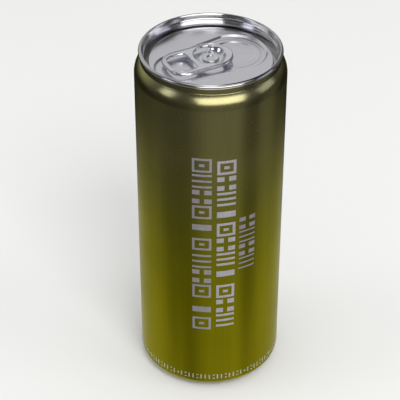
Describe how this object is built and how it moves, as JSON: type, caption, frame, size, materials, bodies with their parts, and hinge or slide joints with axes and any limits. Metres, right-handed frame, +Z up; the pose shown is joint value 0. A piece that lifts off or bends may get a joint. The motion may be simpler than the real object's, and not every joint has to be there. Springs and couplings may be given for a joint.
{
  "type": "drinks can",
  "caption": "Slim aluminium drinks can, full and shut, with a necked top, a seamed end and a pull tab lying flat.",
  "frame": {"origin": "middle of the stand ring, on the floor", "axes": "+Z up the can's axis; -Y towards the printed front"},
  "size_m": [0.053, 0.053, 0.135],
  "materials": {
    "printed_wall": "satin metallic print, dark olive at the shoulder to yellow olive at the heel",
    "end_metal": "bright rolled sheet",
    "tab_metal": "bright rolled sheet"
  },
  "bodies": {
    "root": {"can_body": "printed_wall", "can_end": "end_metal", "pull_tab": "tab_metal"}
  },
  "joints": []
}
